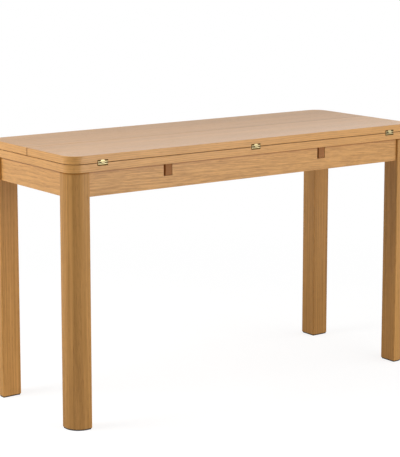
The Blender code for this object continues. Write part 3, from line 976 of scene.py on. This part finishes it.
def panel_grid(low, high, radii, shape, seat, hinged):
    """A panel as a profile carried round its plan outline, lying on its hinged face.

    Each row is the outline drawn in by the profile: rounded edge, barrel relief, plate pocket, plain side,
    rounded edge. A point is its place on the outline less its outward direction times the larger of the
    rounding's inset and the depth of the pocket that it stands in.
    """
    steps = [shape.arc_steps if radius > 2 * shape.panel_arris else shape.arris_steps for radius in radii]
    corners = corner_arcs(low, high, radii, steps)
    points = []
    outward = []
    levels = []
    for number, (corner, away) in enumerate(corners):
        points.append(corner)
        outward.append(away)
        levels.append(np.zeros(len(corner), int))
        side = ("front", None, "rear", None)[number]
        if side in hinged:
            ends = (low[0], high[0]) if side == "front" else (high[0], low[0])
            x, level = edge_stations(*ends, seat)
            y = low[1] if side == "front" else high[1]
            points.append(np.stack([x, np.full_like(x, y)], axis=1))
            outward.append(np.tile(away[-1].round(), (len(x), 1)))
            levels.append(level)
    points = np.concatenate(points)
    outward = np.concatenate(outward)
    levels = np.concatenate(levels)
    rise, inset = quarter(shape.panel_arris, shape.arris_steps)
    thickness = high[2] - low[2]
    reaches = np.repeat([seat.barrel_reach, seat.pocket_reach], 2)
    heights = np.concatenate([rise, reaches, thickness - rise[::-1]])
    inset = np.concatenate([inset, np.zeros(len(reaches)), inset[::-1]])
    count = len(rise)
    zone = np.concatenate([np.full(count + 1, 2), [1, 1], np.zeros(count + 1, int)])
    held = np.minimum(zone[:, None], levels[None, :])
    depth = np.array([0.0, seat.pocket_depth, seat.barrel_depth])[held]
    drawn = np.maximum(inset[:, None], depth)
    return upright(points[None, :, :] - drawn[:, :, None] * outward[None, :, :], heights)


def stand(grid, base, upside_down):
    """Sets a panel on its base height, or hangs it below that height with its hinged face up."""
    grid = grid.copy()
    if upside_down:
        grid[..., 2] = base - grid[..., 2]
        return grid[::-1]
    grid[..., 2] = base + grid[..., 2]
    return grid


def leg_grid(low, high, shape, chamfer_base, turn):
    """A leg as its plan outline carried upwards and turned about its axis.

    Each row is the outline drawn in by the rounding at the leg's ends. Above the chamfer's base the inner
    corner is a straight line across it instead of an arc.
    """
    half = (high[0] - low[0]) / 2
    radii = (shape.leg_radius, shape.leg_arris, shape.leg_arris, shape.leg_arris)
    steps = (shape.arc_steps, shape.arris_steps, shape.arris_steps, shape.arris_steps)
    corners = corner_arcs((-half, -half), (half, half), radii, steps)
    plain = np.concatenate([corner for corner, _ in corners])
    outward = np.concatenate([away for _, away in corners])
    share = np.linspace(0.0, 1.0, shape.arris_steps + 1)[:, None]
    cut = half - LEG_CHAMFER
    line = np.array([half, cut]) * (1 - share) + np.array([cut, half]) * share
    braced = np.concatenate([corners[0][0], corners[1][0], line, corners[3][0]])
    rise, inset = quarter(shape.leg_arris / 2, shape.arris_steps)
    heights = np.concatenate([low[2] + rise, [chamfer_base, chamfer_base], high[2] - rise[::-1]])
    inset = np.concatenate([inset, [0.0, 0.0], inset[::-1]])
    is_braced = np.arange(len(heights)) > len(rise)
    outline = np.where(is_braced[:, None, None], braced[None], plain[None])
    plan = outline - inset[:, None, None] * outward[None]
    cos, sin = math.cos(turn), math.sin(turn)
    centre = np.array([(low[0] + high[0]) / 2, (low[1] + high[1]) / 2])
    return upright(plan @ np.array([[cos, sin], [-sin, cos]]) + centre, heights)


def screw_grid(radius, head, shank):
    """A countersunk screw about +Z with its head's top at 0, as rings from the tip up to the crown.

    The crown is a shallow dome, whose height is a share of what a ring's squared radius lacks of the
    head's, over the head's radius. A cross slot is taken off wherever a point is near one of the two slot
    lines and inside the slot's reach.
    """
    sides = 32
    crown_rings = 12
    tip = 0.15 * radius
    neck = 0.5 * radius
    eye = 0.06 * radius
    tip_share = 0.3
    dome = 0.10
    slot_width = 0.15 * radius
    slot_reach = 0.62 * radius
    slot_depth = 0.35 * radius
    angle = np.linspace(0.0, 2.0 * math.pi, sides, endpoint=False)
    crown = np.linspace(radius, eye, crown_rings)
    ring = np.concatenate([[tip, neck, neck], crown])
    x = ring[:, None] * np.cos(angle)
    y = ring[:, None] * np.sin(angle)
    below = [-head - shank, -head - (1.0 - tip_share) * shank, -head]
    base = np.concatenate([below, dome * (radius**2 - crown**2) / radius])
    near = np.minimum(np.abs(x), np.abs(y)) < slot_width
    inside = np.maximum(np.abs(x), np.abs(y)) < slot_reach
    is_crown = np.arange(len(ring))[:, None] > len(below)
    slot = np.where(near & inside & is_crown, slot_depth, 0.0)
    z = np.broadcast_to(base[:, None], x.shape) - slot
    return np.stack([x, y, z], axis=2)


def point_grid(grid, origin, direction, spin=0.0):
    """Spins a grid about +Z, points its +Z along a direction and moves it to a place."""
    lean = Vector((0, 0, 1)).rotation_difference(Vector(direction)).to_matrix()
    turn = lean @ Matrix.Rotation(spin, 3, "Z")
    return grid @ np.array(turn).T + np.asarray(origin)


class OAKTABLE_OT_panels(bpy.types.Operator):
    """Builds the fixed top and the two leaves in veneered oak with lipped edges"""

    bl_idname = "oaktable.panels"
    bl_label = "Panels"

    def execute(self, context):
        wood = context.scene.table_wood
        shape = context.scene.table_shape
        seat = hinge_seat()
        half_x, half_y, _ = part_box("fixed_top")[1]
        edge_margin = 0.0004
        height_margin = 0.0001
        # Share of painted shade along the leaves' seam
        leaf_seam_shade = 0.7
        specs = (
            ("fixed_top", "frame", SIDES, True),
            ("front_leaf", "front_leaf", ("front",), False),
            ("rear_leaf", "rear_leaf", ("rear",), False),
        )
        for node, body, hinged, below in specs:
            board = PANEL_BOARDS[node]
            low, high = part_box(node)
            line = high.z if below else low.z
            round_low = shape.panel_radius if "front" in hinged else shape.panel_arris
            round_high = shape.panel_radius if "rear" in hinged else shape.panel_arris
            radii = (round_low, round_low, round_high, round_high)
            grid = stand(panel_grid(low, high, radii, shape, seat, hinged), line, below)
            reach = (line - seat.pocket_reach, line) if below else (line, line + seat.pocket_reach)
            pocket = Pocket(
                end=half_x - shape.panel_radius,
                inner=half_y - seat.barrel_depth - edge_margin,
                outer=half_y - edge_margin,
                low=reach[0] + height_margin,
                high=reach[1] - height_margin,
            )
            lip_board = LIPPING_BOARD._replace(seed=LIPPING_BOARD.seed + board.seed)
            lipping = Lipping(lip_board, half_x, half_y, shape.panel_radius)
            seam_shade = 0.0 if below else leaf_seam_shade
            material = oak_material(f"oak_{node}", board, wood, lipping, pocket, seam_shade)
            add_surface(f"{node}_panel", [grid], material, body, (node,))
        return {"FINISHED"}


class OAKTABLE_OT_legs(bpy.types.Operator):
    """Builds the four legs in solid oak with a large outer radius"""

    bl_idname = "oaktable.legs"
    bl_label = "Legs"

    def execute(self, context):
        wood = context.scene.table_wood
        shape = context.scene.table_shape
        gloss = 0.25
        chamfer_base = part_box("corner_block_front_left")[0].z - LEG_CHAMFER_RUNOUT
        for number, (corner, turn, tone) in enumerate(LEGS):
            low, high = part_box(f"leg_{corner}")
            middle = (low + high) / 2
            board = LEG_BOARD._replace(
                pith_across=middle.x + LEG_BOARD.pith_across,
                pith_depth=middle.y + LEG_BOARD.pith_depth,
                seed=LEG_BOARD.seed + LEG_SEED_STEP * number,
                tone=tone,
            )
            # The oak just under the top is darkened with painted shade, for the shadow under the overhang
            material = oak_material(f"oak_leg_{corner}", board, wood, joint=high.z, gloss=gloss)
            grid = leg_grid(low, high, shape, chamfer_base, turn)
            add_surface(f"leg_{corner}_post", [grid], material, "frame", (f"leg_{corner}",))
        return {"FINISHED"}


class OAKTABLE_OT_aprons(bpy.types.Operator):
    """Dresses the four aprons in oak, the long ones with a sloping grain"""

    bl_idname = "oaktable.aprons"
    bl_label = "Aprons"

    def execute(self, context):
        wood = context.scene.table_wood
        for side, board in APRON_BOARDS.items():
            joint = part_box(f"apron_{side}")[1].z
            # The oak just under the top is darkened with painted shade, for the shadow under the overhang
            wear(f"apron_{side}", oak_material(f"oak_apron_{side}", board, wood, joint=joint))
        return {"FINISHED"}


class OAKTABLE_OT_supports(bpy.types.Operator):
    """Dresses lopers, stop pins, guides and keepers in hardwood"""

    bl_idname = "oaktable.supports"
    bl_label = "Lopers and guides"

    def execute(self, context):
        wood = context.scene.table_wood
        loper = hardwood_material("loper_wood_bar", 1, wood.loper)
        rail = hardwood_material("guide_wood_rail", 1, wood.hardwood)
        strip = hardwood_material("guide_wood_strip", 0, wood.hardwood)
        dowel = hardwood_material("guide_wood_dowel", 2, wood.hardwood)
        for side in SIDES:
            for end in ENDS:
                wear(f"loper_{side}_{end}", loper)
                wear(f"stop_pin_{side}_{end}", dowel)
                wear(f"keeper_{end}_{side}", strip)
        for end in ENDS:
            for rank in ("outer", "middle", "inner"):
                wear(f"guide_{end}_{rank}", rail)
        return {"FINISHED"}


class OAKTABLE_OT_hinges(bpy.types.Operator):
    """Dresses the brass hinges and sets their countersunk screws"""

    bl_idname = "oaktable.hinges"
    bl_label = "Hinges"

    def execute(self, context):
        metal = context.scene.table_hardware
        seat = hinge_seat()
        spacing = seat.centres[2] - seat.centres[1]
        # Painted shade along the hinge plates' edges and ends
        plate_shade = PlateShade(tuple(metal.plate_shade), seat.axis_height, spacing, seat.half_plate, HALF_TAB)
        brass = metal_material("brass_hinge", tuple(metal.brass), metal.metal_roughness, plate_shade=plate_shade)
        screws = {}
        for side in SIDES:
            outward = -1.0 if side == "front" else 1.0
            for spot in HINGE_SPOTS:
                wear(f"hinge_pin_{side}_{spot}", brass)
                for kind, up in (("leaf", 1.0), ("base", -1.0)):
                    name = f"hinge_{kind}_plate_{side}_{spot}"
                    wear(name, brass)
                    height = seat.axis_height + up * HINGE_SCREW_RISE
                    held = self.plate_screws(name, outward, height, metal.hinge_screw_radius)
                    screws.setdefault(body_of_node(name), []).extend(held)
        for body, grids in screws.items():
            add_surface(f"hinge_screws_{body}", grids, brass, body)
        return {"FINISHED"}

    @staticmethod
    def plate_screws(name, outward, height, radius):
        """The two screws of one plate at a height, their heads level with its face."""
        low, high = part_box(name)
        top_low, top_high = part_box("fixed_top")
        face = (top_low.y if outward < 0 else top_high.y) + outward * HINGE_SCREW_PROUD
        middle = (low.x + high.x) / 2
        grid = screw_grid(radius, HINGE_SCREW_HEAD, HINGE_SCREW_SHANK)
        found = []
        for way, spin in HINGE_SCREWS:
            origin = (middle + way * HINGE_SCREW_ASIDE, face, height)
            found.append(point_grid(grid, origin, (0.0, outward, 0.0), spin))
        return found


class OAKTABLE_OT_frame_hardware(bpy.types.Operator):
    """Dresses corner blocks, bolts and glides and sets the keepers' screws"""

    bl_idname = "oaktable.frame_hardware"
    bl_label = "Corner blocks, bolts and glides"

    def execute(self, context):
        wood = context.scene.table_wood
        metal = context.scene.table_hardware
        zinc = metal_material("zinc_fastener", tuple(metal.zinc), metal.metal_roughness, grain_axis=2)
        felt = felt_material("felt_glide", tuple(metal.felt))
        block = hardwood_material("guide_wood_block", 2, wood.hardwood)
        for corner, _, _ in LEGS:
            wear(f"corner_block_{corner}", block)
            wear(f"corner_bolt_{corner}", zinc)
            wear(f"glide_{corner}", felt)
        grid = screw_grid(metal.keeper_screw_radius, KEEPER_SCREW_HEAD, KEEPER_SCREW_SHANK)
        grids = []
        for end in ENDS:
            for side in SIDES:
                low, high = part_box(f"keeper_{end}_{side}")
                face = low.z - KEEPER_SCREW_PROUD
                for x in (low.x + KEEPER_SCREW_FROM_END, high.x - KEEPER_SCREW_FROM_END):
                    for y in (low.y + KEEPER_SCREW_FROM_SIDE, high.y - KEEPER_SCREW_FROM_SIDE):
                        spin = KEEPER_SCREW_TURN * x
                        grids.append(point_grid(grid, (x, y, face), (0.0, 0.0, -1.0), spin))
        add_surface("keeper_screws", grids, zinc, "frame")
        return {"FINISHED"}


def studio_world(look, side):
    """White to the eye; to reflections and as light it dims towards the camera's side."""
    graph = Graph(bpy.data.worlds.new("studio"))
    graph.nodes.clear()
    path = graph.add("ShaderNodeLightPath").outputs
    direction = graph.add("ShaderNodeTexCoord").outputs["Generated"]
    reach = graph.lerp(path["Is Glossy Ray"], look.ambient, look.mirrored)
    dimmed = graph.math("MULTIPLY", graph.dim_side(direction, side, look.front_dim), reach)
    plain = graph.math("MAXIMUM", path["Is Camera Ray"], path["Is Transmission Ray"])
    strength = graph.lerp(plain, dimmed, 1.0)
    light = graph.add("ShaderNodeBackground", Color=(1.0, 1.0, 1.0, 1.0), Strength=strength)
    graph.add("ShaderNodeOutputWorld", light.outputs[0])
    return graph.owner


def floor_material(look, side):
    """Pale floor: to the eye it is white with a soft shadow, and to reflections it dims as the studio does.

    From below it is clear to the eye, so that the table's underside can be seen.
    """
    white = (1.0, 1.0, 1.0, 1.0)
    shadow_grey = (0.30, 0.30, 0.30, 1.0)
    paint_grey = (0.80, 0.80, 0.80, 1.0)
    shadow_ends = (0.9, 2.4)
    near_strength = 0.80
    near_mirrored = 0.30
    graph = new_material("studio_floor")
    graph.nodes.clear()
    path = graph.add("ShaderNodeLightPath").outputs
    spot = graph.add("ShaderNodeTexCoord").outputs["Object"]
    span = graph.add("ShaderNodeVectorMath", spot)
    span.operation = "LENGTH"
    bearing = graph.add("ShaderNodeVectorMath", spot)
    bearing.operation = "NORMALIZE"
    far = graph.spread(span.outputs["Value"], *shadow_ends)
    shadow = graph.add("ShaderNodeBsdfDiffuse", shadow_grey)
    near_glow = graph.add("ShaderNodeEmission", white, near_strength)
    near = graph.add("ShaderNodeAddShader", shadow.outputs[0], near_glow.outputs[0])
    far_glow = graph.add("ShaderNodeEmission", white, 1.0)
    to_eye = graph.add("ShaderNodeMixShader", far, near.outputs[0], far_glow.outputs[0])
    studio = graph.dim_side(bearing.outputs["Vector"], side, look.front_dim)
    mirrored = graph.add("ShaderNodeEmission", white, graph.lerp(far, near_mirrored, studio))
    paint = graph.add("ShaderNodeBsdfDiffuse", paint_grey)
    unseen = graph.add("ShaderNodeMixShader", path["Is Glossy Ray"], paint.outputs[0], mirrored.outputs[0])
    above = graph.add("ShaderNodeMixShader", path["Is Camera Ray"], unseen.outputs[0], to_eye.outputs[0])
    under = graph.add("ShaderNodeNewGeometry").outputs["Backfacing"]
    clear = graph.add("ShaderNodeBsdfTransparent")
    under_eye = graph.math("MULTIPLY", under, path["Is Camera Ray"])
    surface = graph.add("ShaderNodeMixShader", under_eye, above.outputs[0], clear.outputs[0])
    graph.add("ShaderNodeOutputMaterial", surface.outputs[0])
    return graph.owner


class Softbox(NamedTuple):
    """A rectangular lamp: its place, the point that it faces, its width and its height."""

    place: tuple
    target: tuple
    width: float
    height: float


LEFT_SOFTBOX = Softbox((-2.25, 0.6, 1.5), (-0.3, 0.0, 0.5), 1.3, 1.3)
FRONT_SOFTBOX = Softbox((0.6, -2.2, 0.8), (0.2, -0.2, 0.5), 1.6, 1.0)
REFLECTOR = Softbox((0.3, 0.25, 1.3), (0.3, -0.6, 0.76), 2.6, 0.5)


def add_softbox(name, power, softbox):
    """Hangs a rectangular lamp that faces its target."""
    lamp = bpy.data.lights.new(name, "AREA")
    lamp.shape = "RECTANGLE"
    lamp.size = softbox.width
    lamp.size_y = softbox.height
    lamp.energy = power
    holder = bpy.data.objects.new(name, lamp)
    holder.location = softbox.place
    gaze = Vector(softbox.target) - Vector(softbox.place)
    holder.rotation_euler = gaze.to_track_quat("-Z", "Y").to_euler()
    bpy.context.scene.collection.objects.link(holder)
    return holder


def add_right_lamp(look):
    """The far soft lamp, by its turn from the front towards the right end and its height."""
    lamp = bpy.data.lights.new("right_lamp", "SUN")
    lamp.energy = look.right_strength
    lamp.angle = look.right_spread
    turn, rise = look.right_turn, look.right_rise
    source = Vector((math.sin(turn) * math.cos(rise), -math.cos(turn) * math.cos(rise), math.sin(rise)))
    holder = bpy.data.objects.new("right_lamp", lamp)
    holder.rotation_euler = (-source).to_track_quat("-Z", "Y").to_euler()
    bpy.context.scene.collection.objects.link(holder)


class OAKTABLE_OT_stage(bpy.types.Operator):
    """Sets the pale floor, the soft lights and the camera"""

    bl_idname = "oaktable.stage"
    bl_label = "Studio"

    def execute(self, context):
        look = context.scene.table_stage
        scene = context.scene
        scene.view_settings.view_transform = "Standard"
        to_camera = (-math.sin(look.azimuth), -math.cos(look.azimuth), 0.0)
        scene.world = studio_world(look, to_camera)
        self.add_floor(scene, floor_material(look, to_camera))
        left = add_softbox("left_softbox", look.left_power, LEFT_SOFTBOX)
        left.visible_glossy = False
        add_softbox("front_softbox", look.front_power, FRONT_SOFTBOX)
        reflector = add_softbox("reflector", look.reflector_power, REFLECTOR)
        reflector.visible_camera = False
        reflector.visible_diffuse = False
        add_right_lamp(look)
        self.add_camera(scene, look)
        return {"FINISHED"}

    @staticmethod
    def add_floor(scene, material):
        """A square just under the glides."""
        corners = [(-1, -1), (1, -1), (1, 1), (-1, 1)]
        mesh = bpy.data.meshes.new("floor")
        mesh.from_pydata([(FLOOR_HALF * x, FLOOR_HALF * y, 0.0) for x, y in corners], [], [(0, 1, 2, 3)])
        mesh.materials.append(material)
        floor = bpy.data.objects.new("floor", mesh)
        floor.location.z = CAD_BOX[0][2] - FLOOR_DROP
        scene.collection.objects.link(floor)

    @staticmethod
    def add_camera(scene, look):
        """The camera, from its level distance, azimuth, height and pitch."""
        ahead = Vector((math.sin(look.azimuth), math.cos(look.azimuth), 0.0))
        right = Vector((ahead.y, -ahead.x, 0.0))
        data = bpy.data.cameras.new("camera")
        data.sensor_width = 36.0
        data.lens = look.lens
        data.shift_y = look.rise
        data.clip_end = 100.0
        camera = bpy.data.objects.new("camera", data)
        camera.location = right * look.sideways - ahead * look.distance + Vector((0.0, 0.0, look.height))
        gaze = ahead * math.cos(look.pitch) - Vector((0.0, 0.0, math.sin(look.pitch)))
        camera.rotation_euler = gaze.to_track_quat("-Z", "Y").to_euler()
        scene.collection.objects.link(camera)
        scene.camera = camera


OPERATORS = (
    OAKTABLE_OT_panels,
    OAKTABLE_OT_legs,
    OAKTABLE_OT_aprons,
    OAKTABLE_OT_supports,
    OAKTABLE_OT_hinges,
    OAKTABLE_OT_frame_hardware,
    OAKTABLE_OT_stage,
)

LOOKS = {
    "table_wood": WoodLook,
    "table_hardware": HardwareLook,
    "table_shape": ShapeLook,
    "table_stage": StageLook,
}


class OAKTABLE_PT_sidebar(bpy.types.Panel):
    """Lists the table's pieces and its looks"""

    bl_idname = "OAKTABLE_PT_sidebar"
    bl_label = "Oak table"
    bl_space_type = "VIEW_3D"
    bl_region_type = "UI"
    bl_category = "Oak table"

    def draw(self, context):
        for operator in OPERATORS:
            self.layout.operator(operator.bl_idname)
        for name in LOOKS:
            box = self.layout.box()
            look = getattr(context.scene, name)
            for key in look.bl_rna.properties.keys():
                if key not in ("rna_type", "name"):
                    box.prop(look, key)


def register():
    """Makes the classes known and hangs the looks on the scene."""
    for item in (*LOOKS.values(), *OPERATORS, OAKTABLE_PT_sidebar):
        bpy.utils.register_class(item)
    for name, look in LOOKS.items():
        setattr(bpy.types.Scene, name, PointerProperty(type=look))


def unregister():
    """Takes the looks off the scene and forgets the classes."""
    for name in LOOKS:
        delattr(bpy.types.Scene, name)
    for item in (OAKTABLE_PT_sidebar, *reversed(OPERATORS), *reversed(LOOKS.values())):
        bpy.utils.unregister_class(item)


def main():
    """Builds the pieces and the stage."""
    register()
    for operator in OPERATORS:
        group, name = operator.bl_idname.split(".")
        getattr(getattr(bpy.ops, group), name)()


if __name__ == "__main__":
    main()
